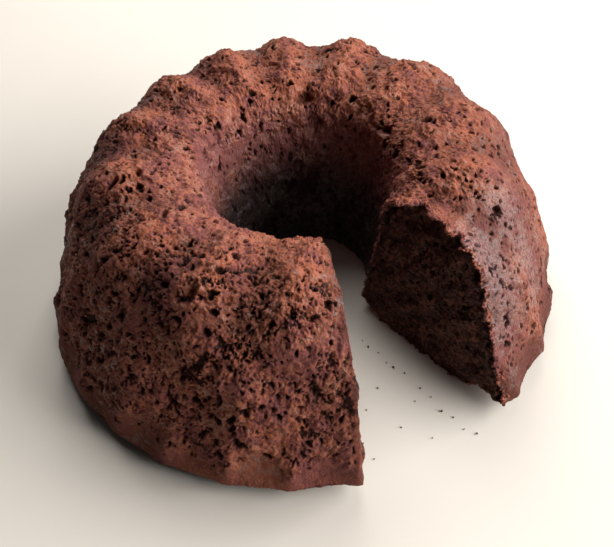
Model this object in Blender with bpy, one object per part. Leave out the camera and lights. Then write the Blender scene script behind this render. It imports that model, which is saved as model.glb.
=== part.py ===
"""Chocolate yogurt ring cake with one wedge cut out, as one solid standing on its domed underside.

Metres, +Z up. The origin is on the ring's axis at table level. Angles run counterclockwise from +X,
and the missing wedge opens towards -Y, between the right cut and the left cut.
"""

import bpy
import numpy as np

# Section of the ring, as radius and height
LIP_RADIUS = 0.1200
LIP_HEIGHT = 0.0063
CREST_RADIUS = 0.0690
CREST_HEIGHT = 0.0915
HOLE_TOP_RADIUS = 0.0415
HOLE_FOOT_RADIUS = 0.0310
SHOULDER_DROP = 0.0220
SHOULDER_SQUARENESS = 2.6
WALL_ROUNDING = 0.68
WALL_STEEPNESS = 2.37

# Domed underside: a flat ring that rests on the table, rising to the lip and to the hole
REST_INNER_RADIUS = 0.0460
REST_OUTER_RADIUS = 0.0900
LIP_GROOVE_RADIUS = 0.1100
LIP_GROOVE_HEIGHT = 0.0078

# The ring is a little oval
OVALNESS = 0.0170
OVAL_DIRECTION = np.radians(25.0)

# Pan flutes: short and long ridges take turns at the foot. Above the short ones lie wide scallops between
# the long ones, and over the crown each scallop ends in a lobe
FLUTE_COUNT = 28
FLUTE_START = np.radians(89.7)
FLUTE_DRIFT = np.radians(4.9)
FLUTE_DRIFT_START = np.radians(-52.0)
FLUTE_DEPTH = 0.0026
FLUTE_MEAN = 0.62
FLUTE_ROUNDING = 0.16
SHORT_RIDGE_FADE = (0.10, 0.36)
LONG_RIDGE_FADE = (0.50, 0.88)
SCALLOP_SHARE = 1.35
SCALLOP_MEAN = 0.78
LOBE_DEPTH = 0.0036
LOBE_SHARPNESS = 0.35
LOBE_GROWTH = (0.52, 0.95)

# Over the foot the ridges lean round the ring, one way and the other in turn, as shares of a flute
RIDGE_LEAN = 0.2
LEAN_DIRECTION = np.radians(-20.0)

# Slow swells where the crust rose unevenly
SWELL_DEPTH = 0.0005
SWELL_AROUND = (5, 9, 13)
SWELL_ALONG = (2.0, 3.5, 5.0)

# Cuts: each plane's direction, and how far it passes beside the axis
RIGHT_CUT_ANGLE = np.radians(-48.3)
RIGHT_CUT_OFFSET = 0.0139
LEFT_CUT_ANGLE = np.radians(282.0)
LEFT_CUT_OFFSET = -0.0017

# Crumbly cut faces with a ragged crust edge
CRUMB_RELIEF = 0.0003
CRUMB_LUMP = 0.0110
CRUMB_WAVES = 5
CRUMB_WAVE_GROWTH = 0.23
GOLDEN_ANGLE = np.radians(137.5)
CRUST_RAGGEDNESS = 0.0008
CRUMB_SEED = 7

# At the right cut the crumb is torn back under the crust, the crust is chipped, and the crest has sagged
TEAR_RADIUS = 0.0640
TEAR_HEIGHT = 0.0820
TEAR_REACH = 0.0230
TEAR_DEPTH = 0.0065
UNDERCUT_DEPTH = 0.0015
CHIP_RADIUS = 0.0610
CHIP_REACH = 0.0090
CHIP_DEPTH = 0.0034
SAG_DEPTH = 0.0030
SAG_REACH = np.radians(16.0)

# Facets
COLUMNS_PER_FLUTE = 6
WALL_POINTS = 15
SHOULDER_POINTS = 6
HOLE_POINTS = 5
UNDERSIDE_INNER_POINTS = 4
UNDERSIDE_OUTER_POINTS = 5
CAP_RINGS = (0.95, 0.86, 0.68, 0.44, 0.20)
CURVE_STEPS = 400
TURN_STEPS = 16000
EDGE_COLUMN_GAP = 0.4

CRUST_COLOUR = (0.090, 0.030, 0.018, 1.0)
CRUST_ROUGHNESS = 0.75
SHARP_ANGLE = np.radians(45.0)


def even_points(radius, height, count):
    """Points of a curve, spaced evenly along it, without its last one."""
    run = np.concatenate([[0.0], np.cumsum(np.hypot(np.diff(radius), np.diff(height)))])
    at = np.linspace(0.0, run[-1], count + 1)[:-1]
    return np.interp(at, run, radius), np.interp(at, run, height)


def outer_wall():
    """From the lip up to the crest."""
    turn = np.linspace(0.0, np.pi / 2, CURVE_STEPS)
    radius = CREST_RADIUS + (LIP_RADIUS - CREST_RADIUS) * np.cos(turn) ** WALL_ROUNDING
    height = LIP_HEIGHT + (CREST_HEIGHT - LIP_HEIGHT) * np.sin(turn) ** WALL_STEEPNESS
    return even_points(radius, height, WALL_POINTS)


def inner_shoulder():
    """From the crest down into the top of the hole, as a squarish quarter ellipse."""
    turn = np.linspace(0.0, np.pi / 2, CURVE_STEPS)
    power = 2.0 / SHOULDER_SQUARENESS
    radius = CREST_RADIUS - (CREST_RADIUS - HOLE_TOP_RADIUS) * np.sin(turn) ** power
    height = CREST_HEIGHT - SHOULDER_DROP * (1.0 - np.cos(turn) ** power)
    return even_points(radius, height, SHOULDER_POINTS)


def hole_wall():
    """Down the funnel of the hole to its foot."""
    radius = np.array([HOLE_TOP_RADIUS, HOLE_FOOT_RADIUS])
    height = np.array([CREST_HEIGHT - SHOULDER_DROP, LIP_HEIGHT])
    return even_points(radius, height, HOLE_POINTS)


def smooth_step(low, high, value):
    share = np.clip((value - low) / (high - low), 0.0, 1.0)
    return share * share * (3.0 - 2.0 * share)


def underside_height(radius):
    """Flat on the table between the rest radii, rising to the hole's foot and to the groove inside the lip."""
    inward = LIP_HEIGHT * (1.0 - smooth_step(HOLE_FOOT_RADIUS, REST_INNER_RADIUS, radius))
    outward = LIP_GROOVE_HEIGHT * smooth_step(REST_OUTER_RADIUS, LIP_GROOVE_RADIUS, radius)
    lip_fall = (LIP_GROOVE_HEIGHT - LIP_HEIGHT) * smooth_step(LIP_GROOVE_RADIUS, LIP_RADIUS, radius)
    return inward + outward - lip_fall


def underside():
    """From the hole's foot out to the lip."""
    inner = np.linspace(HOLE_FOOT_RADIUS, REST_INNER_RADIUS, UNDERSIDE_INNER_POINTS)
    outer = np.linspace(REST_OUTER_RADIUS, LIP_RADIUS, UNDERSIDE_OUTER_POINTS + 1)[:-1]
    radius = np.concatenate([inner, outer])
    return radius, underside_height(radius)


def section():
    """The closed section: radius, height, outward normal, and how strongly lobes and ridges mark each point."""
    parts = [outer_wall(), inner_shoulder(), hole_wall(), underside()]
    radius = np.concatenate([part[0] for part in parts])
    height = np.concatenate([part[1] for part in parts])
    along = np.stack([np.roll(radius, -1) - np.roll(radius, 1), np.roll(height, -1) - np.roll(height, 1)])
    along /= np.hypot(*along)
    normal = np.stack([along[1], -along[0]])
    count = len(radius)
    wall = np.arange(count) < WALL_POINTS
    shoulder = (np.arange(count) >= WALL_POINTS) & (np.arange(count) < WALL_POINTS + SHOULDER_POINTS)
    rise = (height - LIP_HEIGHT) / (CREST_HEIGHT - LIP_HEIGHT)
    lobe = np.where(wall, smooth_step(*LOBE_GROWTH, rise), 0.0)
    inward = (CREST_RADIUS - radius) / (CREST_RADIUS - HOLE_TOP_RADIUS)
    lobe = np.where(shoulder, 1.0 - inward, lobe)
    flute = np.where(wall, 1.0 - smooth_step(*LONG_RIDGE_FADE, rise), 0.0)
    short = 1.0 - smooth_step(*SHORT_RIDGE_FADE, rise)
    return radius, height, normal, lobe, flute, short


def flute_turn(angle):
    """Counts the flutes round the ring: a whole number on each ridge."""
    drift = FLUTE_DRIFT * np.sin(angle - FLUTE_DRIFT_START)
    return FLUTE_COUNT * (angle - FLUTE_START - drift) / (2.0 * np.pi)


def ridge_lean(angle):
    return RIDGE_LEAN * np.cos(2.0 * (angle - LEAN_DIRECTION))


def relief(angle, lobe, flute, short, place):
    """Height of the crust over the plain ring, for lobes, flutes, scallops and slow swells."""
    turn = flute_turn(angle) + (1.0 - short) * ridge_lean(angle)
    lobe_wave = np.cos(np.pi * turn)
    lobe_wave = lobe_wave + LOBE_SHARPNESS * (0.5 - np.abs(np.sin(np.pi * turn / 2.0)))
    mean = short * FLUTE_MEAN + (1.0 - short) * SCALLOP_SHARE * SCALLOP_MEAN
    hollow = short * np.abs(np.sin(np.pi * turn))
    hollow = hollow + (1.0 - short) * SCALLOP_SHARE * np.abs(np.cos(np.pi * turn / 2.0))
    flute_wave = mean - np.hypot(hollow, FLUTE_ROUNDING)
    swell = 0.0
    for around, along in zip(SWELL_AROUND, SWELL_ALONG):
        swell = swell + np.sin(around * angle + along) * np.cos(2.0 * np.pi * along * place + around)
    shaped = 0.5 * LOBE_DEPTH * lobe * lobe_wave + FLUTE_DEPTH * flute * flute_wave
    return shaped + SWELL_DEPTH * swell * np.clip(lobe + flute, 0.0, 1.0)


def oval(angle):
    return 1.0 + OVALNESS * np.cos(2.0 * (angle - OVAL_DIRECTION))


def cut_angle(radius, angle, offset):
    """The angle at which a circle of this radius meets a cut plane."""
    return angle + np.arcsin(offset / radius)


def column_shares():
    """Shares of the way from the right cut to the left cut, with a column on every ridge at the lip."""
    start = cut_angle(LIP_RADIUS, RIGHT_CUT_ANGLE, RIGHT_CUT_OFFSET)
    end = cut_angle(LIP_RADIUS, LEFT_CUT_ANGLE, LEFT_CUT_OFFSET)
    fine = np.linspace(start, end, TURN_STEPS)
    turns = flute_turn(fine) * COLUMNS_PER_FLUTE
    whole = np.arange(np.ceil(turns[0] + EDGE_COLUMN_GAP), np.floor(turns[-1] - EDGE_COLUMN_GAP) + 1)
    inner = (np.interp(whole, turns, fine) - start) / (end - start)
    return np.concatenate([[0.0], inner, [1.0]])


def ring_points(radius, height, normal, lobe, flute, short):
    """Every column of the ring, from the right cut to the left cut."""
    chip = CHIP_DEPTH * lobe * (1.0 - smooth_step(0.0, CHIP_REACH, np.abs(radius - CHIP_RADIUS)))
    start = cut_angle(radius, RIGHT_CUT_ANGLE, RIGHT_CUT_OFFSET) + chip / radius
    end = cut_angle(radius, LEFT_CUT_ANGLE, LEFT_CUT_OFFSET)
    place = np.linspace(0.0, 1.0, len(radius))
    share = column_shares()[:, None]
    angle = start + (end - start) * share
    sag = SAG_DEPTH * lobe * (1.0 - smooth_step(0.0, SAG_REACH, angle - start))
    raised = relief(angle, lobe, flute, short, place) - sag
    out = (radius + raised * normal[0]) * oval(angle)
    up = np.broadcast_to(height + raised * normal[1], out.shape)
    return np.stack([out * np.cos(angle), out * np.sin(angle), up], axis=-1)


def crumb_lumps(across, height):
    """Slow lumps of a cut face, as crossing waves of different lengths."""
    depth = 0.0
    for wave in range(CRUMB_WAVES):
        direction = wave * GOLDEN_ANGLE
        length = CRUMB_LUMP * (1.0 + CRUMB_WAVE_GROWTH * wave)
        run = across * np.cos(direction) + height * np.sin(direction)
        depth = depth + np.sin(2.0 * np.pi * run / length + wave)
    return CRUMB_RELIEF * depth


def cap_points(edge, outward, wall, torn):
    """Rings of points that close a cut face inside its edge, and the point in its middle."""
    middle = edge.mean(axis=0)
    rings = []
    for scale in CAP_RINGS:
        ring = middle + (edge - middle) * scale
        across = np.hypot(ring[:, 0], ring[:, 1])
        depth = crumb_lumps(across, ring[:, 2])
        if torn:
            away = np.hypot(across - TEAR_RADIUS, ring[:, 2] - TEAR_HEIGHT)
            depth = depth - TEAR_DEPTH * (1.0 - smooth_step(0.0, TEAR_REACH, away))
            depth = depth - UNDERCUT_DEPTH * wall * (scale == CAP_RINGS[0])
        rings.append(ring + outward * depth[:, None])
    return rings, middle


def ragged_edge(column, neighbour, rng, crusted):
    """Moves the crust's edge along the ring by a crumb's width here and there."""
    along = column - neighbour
    along /= np.linalg.norm(along, axis=1)[:, None]
    step = CRUST_RAGGEDNESS * rng.uniform(-1.0, 1.0, len(column)) * crusted
    return column + along * step[:, None]


def cake_mesh():
    radius, height, normal, lobe, flute, short = section()
    columns = ring_points(radius, height, normal, lobe, flute, short)
    rng = np.random.default_rng(CRUMB_SEED)
    crusted = np.clip(lobe + flute, 0.0, 1.0)
    columns[0] = ragged_edge(columns[0], columns[1], rng, crusted)
    columns[-1] = ragged_edge(columns[-1], columns[-2], rng, crusted)
    count, size = columns.shape[:2]
    points = list(columns.reshape(-1, 3))
    faces = []

    for column in range(count - 1):
        for row in range(size):
            after = (row + 1) % size
            low, high = column * size, (column + 1) * size
            faces.append((low + row, high + row, high + after, low + after))

    wall = np.arange(size) < WALL_POINTS
    right_outward = np.array([np.sin(RIGHT_CUT_ANGLE), -np.cos(RIGHT_CUT_ANGLE), 0.0])
    left_outward = np.array([-np.sin(LEFT_CUT_ANGLE), np.cos(LEFT_CUT_ANGLE), 0.0])
    for first, edge, outward, torn in ((0, columns[0], right_outward, True),
                                       ((count - 1) * size, columns[-1], left_outward, False)):
        rings, middle = cap_points(edge, outward, wall, torn)
        outer = first
        flip = first > 0
        for ring in rings:
            inner = len(points)
            points.extend(ring)
            for row in range(size):
                after = (row + 1) % size
                face = (outer + row, outer + after, inner + after, inner + row)
                faces.append(face[::-1] if flip else face)
            outer = inner
        hub = len(points)
        points.append(middle)
        for row in range(size):
            face = (outer + row, outer + (row + 1) % size, hub)
            faces.append(face[::-1] if flip else face)

    mesh = bpy.data.meshes.new("cake")
    mesh.from_pydata([tuple(point) for point in points], [], faces)
    mesh.validate()
    mesh.update()
    return mesh


def crust_material():
    material = bpy.data.materials.new("chocolate_crumb")
    material.use_nodes = True
    shader = material.node_tree.nodes["Principled BSDF"]
    shader.inputs["Base Color"].default_value = CRUST_COLOUR
    shader.inputs["Roughness"].default_value = CRUST_ROUGHNESS
    shader.inputs["Metallic"].default_value = 0.0
    return material


def main():
    for old in list(bpy.data.objects):
        bpy.data.objects.remove(old, do_unlink=True)
    cake = bpy.data.objects.new("cake", cake_mesh())
    bpy.context.scene.collection.objects.link(cake)
    cake.data.materials.append(crust_material())
    cake.data.shade_smooth()
    cake.data.set_sharp_from_angle(angle=SHARP_ANGLE)


main()
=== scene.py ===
"""Looks of a chocolate yogurt ring cake with one wedge cut out.

The ring is modelled again at crumb scale: flutes and lobes from the same formulas as the solid, then pores,
cavities, torn crust and crumbs, all as geometry. Metres, +Z up, origin on the ring's axis at table level.
"""

import math

import bpy
import numpy as np
from bpy.props import FloatProperty, FloatVectorProperty, IntProperty, PointerProperty
from mathutils import Matrix, Vector


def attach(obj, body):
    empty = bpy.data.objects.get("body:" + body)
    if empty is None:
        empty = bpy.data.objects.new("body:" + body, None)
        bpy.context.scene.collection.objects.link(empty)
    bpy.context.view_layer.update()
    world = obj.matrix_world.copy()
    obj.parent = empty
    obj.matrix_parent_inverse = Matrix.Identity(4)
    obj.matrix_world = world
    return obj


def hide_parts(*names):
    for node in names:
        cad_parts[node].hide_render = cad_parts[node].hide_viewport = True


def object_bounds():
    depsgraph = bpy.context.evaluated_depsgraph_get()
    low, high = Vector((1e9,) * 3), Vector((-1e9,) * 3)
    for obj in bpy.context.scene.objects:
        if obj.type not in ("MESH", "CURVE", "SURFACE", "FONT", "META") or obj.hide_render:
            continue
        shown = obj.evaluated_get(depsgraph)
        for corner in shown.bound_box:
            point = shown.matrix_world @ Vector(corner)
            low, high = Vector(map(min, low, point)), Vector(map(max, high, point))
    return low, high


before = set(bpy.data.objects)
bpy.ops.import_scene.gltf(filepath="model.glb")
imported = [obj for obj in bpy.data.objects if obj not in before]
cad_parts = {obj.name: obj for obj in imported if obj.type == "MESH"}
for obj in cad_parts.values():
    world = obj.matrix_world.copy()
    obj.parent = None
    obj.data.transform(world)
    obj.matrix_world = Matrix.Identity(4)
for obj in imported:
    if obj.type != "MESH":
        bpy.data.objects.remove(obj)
CAD_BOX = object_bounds()

bl_info = {
    "name": "Chocolate Yogurt Ring Cake",
    "version": (1, 0, 0),
    "blender": (4, 5, 0),
    "location": "3D View > Sidebar > Cake",
    "description": "Builds a fluted chocolate ring cake with a wedge cut out, and a plain studio round it",
    "category": "Add Mesh",
}

NODE = "cake"
GOLDEN_ANGLE = math.radians(137.5)
PHOTO_WIDTH = 614
SENSOR_WIDTH_MM = 36.0
MOST_TRIANGLES = 196000
FLOOR_HALF_WIDTH = 3.0
LIGHT_AIM_HEIGHT = 0.04

# Parts of the ring's section
WALL, SHOULDER, HOLE, UNDERSIDE = range(4)

# The solid's own counts and shares
SWELL_AROUND = (5, 9, 13)
SWELL_ALONG = (2.0, 3.5, 5.0)
FLUTE_COUNT = 28
SHORT_RIDGE_FADE = (0.10, 0.36)
LONG_RIDGE_FADE = (0.50, 0.88)
LOBE_GROWTH = (0.52, 0.95)
CUT_WAVES = 5
CUT_WAVE_GROWTH = 0.23

# Sizes that the ring's tree takes from the two groups, and what it leaves for the materials
FORM_INPUTS = ("Lobe depth", "Lobe sharpness", "Flute depth", "Flute mean", "Flute rounding", "Scallop share",
               "Scallop mean", "Swell depth")
CRUMB_INPUTS = ("Grain size", "Grain depth", "Flake size", "Flake depth", "Chunk size", "Chunk depth",
                "Torn depth", "Lump size", "Lump depth", "Slick size", "Skin share", "Pore cell",
                "Pore share", "Pore depth", "Hole cell", "Hole share", "Hole depth", "Pore stretch", "Seed")
SHOWN_FIELDS = ("pit", "cave_shade", "crease_shade", "proud", "rough", "dry", "moist", "deep", "sleek")

# Sides of the ring that differ: direction, half width, and where the side has faded out, in degrees
FRONT, RIGHT, LEFT = (-130.0, 20.0, 60.0), (-15.0, 35.0, 75.0), (-170.0, 30.0, 85.0)
SHEEN, SHARP_FOOT = (-38.0, 8.0, 32.0), (-10.0, 55.0, 95.0)

# Distances up the section from the lip, in mm: the smooth band over the foot and how far its top strays,
# and where one stretch of crust fades out or in
FOOT_BAND, FOOT_BAND_WAVE = 12.5, 3.0
WALL_TOP, LOW_WALL_TOP, DAMP_WALL_TOP, HOLE_RIM = (112.0, 92.0), (92.0, 78.0), (108.0, 74.0), (126.0, 148.0)

# Crumbs: least and greatest width, how uneven they are, and how dry, which lightens them partly as painted
# light, and for those along the cuts the share at the right one, how many columns from the right and left
# cuts they lie, and how much wider they are there
EDGE_CRUMB_WIDTHS, CRUST_CRUMB_WIDTHS = (0.0005, 0.0012), (0.0004, 0.0009)
CRUMB_UNEVENNESS, CRUMB_DRYNESS_AND_LIGHT = 0.0003, 0.8
RIGHT_EDGE_SHARE = 0.75
EDGE_CRUMB_STEPS = (3.0, 2.2)
RIGHT_CRUMB_GROWTH, LEFT_CRUMB_GROWTH = (1.0, 2.3), 0.6

# Cavities in the crust: angle round the ring in degrees, distance up the section from the lip in mm,
# length, width and depth in mm, and the turn of the length away from the ring's direction in degrees
CAVITIES = (
    (86.5, 132.0, 11.0, 8.5, 4.2, 0), (100.0, 110.0, 6.0, 2.5, 1.8, -35), (94.0, 99.5, 3.5, 2.5, 2.0, 0),
    (73.0, 97.0, 4.5, 3.5, 3.2, 20), (48.0, 98.0, 4.0, 2.0, 2.2, 0), (56.5, 115.0, 3.0, 3.0, 2.2, 0),
    (45.5, 117.5, 2.4, 2.4, 2.0, 0), (29.0, 133.5, 8.0, 5.5, 4.5, 25), (11.5, 132.0, 4.5, 4.5, 4.0, 0),
    (-10.5, 125.0, 6.5, 4.0, 4.0, 50), (18.0, 92.5, 4.6, 2.6, 2.6, -60), (-9.0, 88.5, 3.6, 3.0, 3.0, 20),
    (-9.5, 78.0, 3.4, 1.8, 2.0, 80), (-20.0, 97.0, 2.6, 2.0, 1.8, 0), (-24.0, 84.0, 5.0, 1.6, 1.6, 75),
    (-29.0, 79.0, 3.0, 2.4, 1.2, 30), (-29.5, 70.5, 3.4, 2.6, 1.0, 0), (-19.0, 66.0, 2.4, 2.4, 2.0, 0),
    (128.5, 94.0, 3.6, 2.0, 2.0, -20), (124.5, 99.5, 4.0, 2.6, 2.4, 20), (151.5, 110.5, 3.6, 2.8, 2.6, 0),
    (143.0, 104.0, 3.0, 2.0, 1.6, 50), (-170.5, 107.0, 5.4, 3.6, 3.6, 15),
    (-168.5, 95.5, 9.5, 3.4, 4.0, -55), (-162.0, 99.0, 4.2, 2.8, 2.4, -40),
    (-159.5, 104.0, 3.2, 2.6, 1.6, 0), (-146.5, 117.0, 3.8, 2.8, 2.6, -30),
    (-146.5, 109.5, 7.0, 3.6, 2.6, -35), (-147.5, 61.0, 6.0, 4.0, 4.2, 30),
    (-120.0, 87.5, 13.5, 7.0, 2.4, 80), (-127.5, 98.0, 6.0, 4.0, 3.0, 40),
    (-129.0, 86.5, 7.5, 5.0, 3.2, 30), (-121.5, 76.5, 5.0, 3.4, 3.4, 0), (-113.5, 75.0, 5.0, 4.0, 4.0, -40),
    (-134.0, 103.0, 3.6, 2.6, 2.6, 0), (-139.0, 93.0, 4.0, 2.2, 2.0, 60), (-104.0, 80.0, 4.4, 2.8, 2.8, 70),
    (-101.5, 93.0, 5.0, 2.0, 2.2, -70), (-98.0, 82.5, 6.0, 3.0, 3.2, 70), (-126.0, 37.0, 5.0, 2.4, 2.4, 0),
    (-121.0, 35.0, 4.4, 2.4, 2.4, 15), (-116.5, 33.5, 4.0, 2.4, 2.2, 10), (-97.5, 44.0, 4.6, 2.6, 2.4, -10),
    (-91.5, 44.0, 3.6, 2.2, 2.0, 10), (-92.0, 61.0, 3.4, 2.0, 2.2, -30), (-103.5, 66.0, 4.4, 2.4, 2.4, -25),
    (160.0, 78.0, 5.0, 2.8, 2.8, 35), (172.0, 63.0, 4.4, 2.4, 2.4, -20), (104.0, 70.0, 5.6, 3.0, 3.0, 50),
    (62.0, 60.0, 4.0, 2.4, 2.2, 10), (24.0, 52.0, 4.6, 2.2, 2.0, -40),
)

# Where the crust's edge at the right cut overhangs or is broken away: distance from the axis, half width and
# overhang in mm
EDGE_BREAKS = (
    (50.0, 9.5, 4.4), (61.5, 5.5, -5.0), (67.5, 3.0, 1.2), (72.5, 3.0, -2.2), (78.5, 3.6, 2.0),
    (83.5, 2.4, -1.6), (89.0, 3.6, 1.0), (95.0, 2.6, -1.2), (103.0, 3.0, 0.8), (110.0, 2.4, -0.8),
)

# Loose crumbs on the table in the missing wedge: x, y and width in mm
LOOSE_CRUMBS = (
    (30.0, -38.0, 1.3), (34.5, -41.5, 0.9), (27.5, -34.0, 0.8), (41.0, -50.5, 1.6), (46.0, -54.0, 1.0),
    (38.0, -47.5, 0.8), (52.5, -63.0, 1.2), (57.0, -68.0, 0.9), (49.5, -70.0, 0.8), (61.0, -76.0, 1.4),
    (66.0, -79.5, 1.0), (70.0, -86.0, 0.9), (33.0, -62.0, 1.0), (27.0, -74.0, 0.8), (42.0, -84.0, 0.9),
    (24.5, -92.0, 1.2), (29.0, -100.0, 0.8), (55.5, -90.0, 0.8), (75.5, -88.5, 1.2), (23.0, -55.0, 0.9),
)


def smooth_step(low, high, value):
    share_up = np.clip((value - low) / (high - low), 0.0, 1.0)
    return share_up * share_up * (3.0 - 2.0 * share_up)


def bell(value, centre, reach):
    """One at the centre, falling smoothly to nothing at the reach."""
    return 1.0 - smooth_step(0.0, reach, np.abs(value - centre))


def between(angle_here, degrees):
    """How far each angle is from a direction, in radians either way."""
    return (angle_here - math.radians(degrees) + np.pi) % (2.0 * np.pi) - np.pi


def on_side(around, degrees, full, ended):
    """One on the side that faces a direction, falling smoothly to nothing beyond it."""
    return 1.0 - smooth_step(math.radians(full), math.radians(ended), np.abs(between(around, degrees)))


def number(name, text, default, **settings):
    return FloatProperty(name=name, description=text, default=default, **settings)


def size(name, text, default):
    return number(name, text, default, unit="LENGTH", precision=5)


def angle(name, text, degrees):
    return number(name, text, math.radians(degrees), unit="ROTATION")


def share(name, text, default):
    return number(name, text, default, min=0.0, soft_max=1.0)


def power(name, text, default):
    return number(name, text, default, unit="POWER")


def colour(name, text, default):
    return FloatVectorProperty(name=name, description=text, default=default, size=3, subtype="COLOR",
                               min=0.0, max=1.0)


def taken(group, names):
    """Values of a group's properties, by the names that the sidebar shows."""
    return {name: float(getattr(group, name.lower().replace(" ", "_"))) for name in names}


class CakeForm(bpy.types.PropertyGroup):
    """Sizes of the ring, the same as the solid's."""

    lip_radius: size("Lip radius", "Outer radius at the foot", 0.1200)
    lip_height: size("Lip height", "Height of the foot's edge over the table", 0.0063)
    crest_radius: size("Crest radius", "Radius of the highest line", 0.0690)
    crest_height: size("Crest height", "Height of the crown", 0.0915)
    hole_top_radius: size("Hole top radius", "Radius of the hole at its rim", 0.0415)
    hole_foot_radius: size("Hole foot radius", "Radius of the hole at the table", 0.0310)
    shoulder_drop: size("Shoulder drop", "How far the hole's rim lies under the crown", 0.0220)
    shoulder_squareness: number("Shoulder squareness", "Power of the ellipse between crown and hole", 2.6)
    wall_rounding: number("Wall rounding", "Power that bows the wall out", 0.68)
    wall_steepness: number("Wall steepness", "Power that lifts the wall", 2.37)
    lip_rounding: size("Lip rounding", "How far the corner of the foot is rounded", 0.0016)
    rest_inner_radius: size("Rest inner radius", "Where the flat underside starts", 0.0460)
    rest_outer_radius: size("Rest outer radius", "Where the flat underside ends", 0.0900)
    groove_radius: size("Groove radius", "Radius of the groove inside the foot", 0.1100)
    groove_height: size("Groove height", "Height of that groove", 0.0078)
    ovalness: share("Ovalness", "How much the ring is longer than wide", 0.0170)
    oval_direction: angle("Oval direction", "Where the ring is longest", 25.0)
    flute_start: angle("Flute start", "Where a flute's ridge stands", 89.7)
    flute_drift: angle("Flute drift", "How far the ridges stray from even spacing", 4.9)
    flute_drift_start: angle("Flute drift start", "Where they stray least", -52.0)
    flute_depth: size("Flute depth", "Depth of the flutes at the foot", 0.0026)
    flute_mean: share("Flute mean", "Share of a flute's depth that lies outside the plain ring", 0.62)
    flute_rounding: share("Flute rounding", "How round a ridge is", 0.10)
    scallop_share: share("Scallop share", "Depth of the wide scallops, as a share of the flutes' depth", 1.9)
    scallop_mean: share("Scallop mean", "Share of a scallop's depth that lies outside the plain ring", 0.55)
    pocket_share: share("Pocket share", "How much deeper the flutes are over the foot than at its edge", 0.8)
    pocket_rise: share("Pocket rise", "Where they are deepest, as a share of the ring's height", 0.13)
    worn_edge: share("Worn edge", "How much shallower flutes are at the foot's edge, front and left", 0.65)
    ridge_lean: share("Ridge lean", "How far the long ridges lean round the ring, as a share of a flute", 0.2)
    lean_direction: angle("Lean direction", "Where they lean most", -20.0)
    lobe_depth: size("Lobe depth", "Depth of the lobes over the crown", 0.0036)
    lobe_sharpness: share("Lobe sharpness", "How pointed the valleys between lobes are", 0.65)
    swell_depth: size("Swell depth", "Height of the slow swells", 0.0005)
    right_cut_angle: angle("Right cut angle", "Direction of the right cut", -48.3)
    right_cut_offset: size("Right cut offset", "How far that cut passes beside the axis", 0.0139)
    left_cut_angle: angle("Left cut angle", "Direction of the left cut", 282.0)
    left_cut_offset: size("Left cut offset", "How far that cut passes beside the axis", -0.0017)
    sag_depth: size("Sag depth", "How far the crown sags beside the right cut", 0.0030)
    sag_reach: angle("Sag reach", "How far round the ring it sags", 16.0)
    tear_radius: size("Tear radius", "Where the crumb is torn back under the crust", 0.0640)
    tear_height: size("Tear height", "Height of that hollow", 0.0820)
    tear_reach: size("Tear reach", "Size of that hollow", 0.0230)
    tear_depth: size("Tear depth", "Depth of that hollow", 0.0065)
    undercut_depth: size("Undercut depth", "Depth of the groove under the crust's edge", 0.0030)
    crust_thickness: size("Crust thickness", "Thickness of the crust at a cut", 0.0016)
    ragged_fade: size("Ragged fade", "How far inside its edge a cut face is level again", 0.0050)
    hub_radius: size("Cut middle radius", "Middle of a cut face, from the axis", 0.0730)
    hub_height: size("Cut middle height", "Middle of a cut face, over the table", 0.0400)


class CakeCrumb(bpy.types.PropertyGroup):
    """Sizes of pores, crumbs and rough crust."""

    spacing: size("Mesh spacing", "Distance between points of the crust", 0.00041)
    grain_size: size("Grain size", "Width of single grains", 0.0010)
    grain_depth: size("Grain depth", "Height of single grains", 0.0007)
    flake_size: size("Flake size", "Width of small flakes of crumb", 0.0011)
    flake_depth: size("Flake depth", "Height of small flakes of crumb", 0.0020)
    chunk_size: size("Chunk size", "Width of chunks of crumb", 0.0031)
    chunk_depth: size("Chunk depth", "Height of chunks of crumb", 0.0018)
    torn_depth: size("Torn depth", "Depth of ragged holes between chunks", 0.0019)
    lump_size: size("Lump size", "Width of the crust's lumps", 0.0062)
    lump_depth: size("Lump depth", "Height of the crust's lumps", 0.0060)
    slick_size: size("Slick size", "Width of the smooth patches between rough crumb", 0.0150)
    skin_share: share("Skin share", "How much crumb relief is left on smooth crust", 0.32)
    pore_cell: size("Pore cell", "Space for each small pore", 0.0024)
    pore_share: share("Pore share", "Share of the spaces with a small pore", 0.60)
    pore_depth: size("Pore depth", "Depth of small pores", 0.0015)
    hole_cell: size("Hole cell", "Space for each hole", 0.0046)
    hole_share: share("Hole share", "Share of the spaces with a hole", 0.75)
    hole_depth: size("Hole depth", "Depth of holes", 0.0028)
    pore_stretch: share("Pore stretch", "How much taller than wide pores are", 1.5)
    cut_lump: size("Cut lump", "Width of the lumps on a cut face", 0.0110)
    cut_relief: size("Cut relief", "Height of those lumps", 0.0003)
    right_ragged: size("Right edge", "How far the right cut's edge strays", 0.0010)
    left_ragged: size("Left edge", "How far the left cut's edge strays", 0.0002)
    ragged_length: size("Edge wave", "Length over which a cut's edge strays", 0.0065)
    edge_crumbs: IntProperty(name="Edge crumbs", description="Crumbs along the cuts", default=760)
    crust_crumbs: IntProperty(name="Crust crumbs", description="Crumbs clinging to the crust", default=1500)
    seed: IntProperty(name="Seed", description="Seed of everything uneven", default=7)


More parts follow.
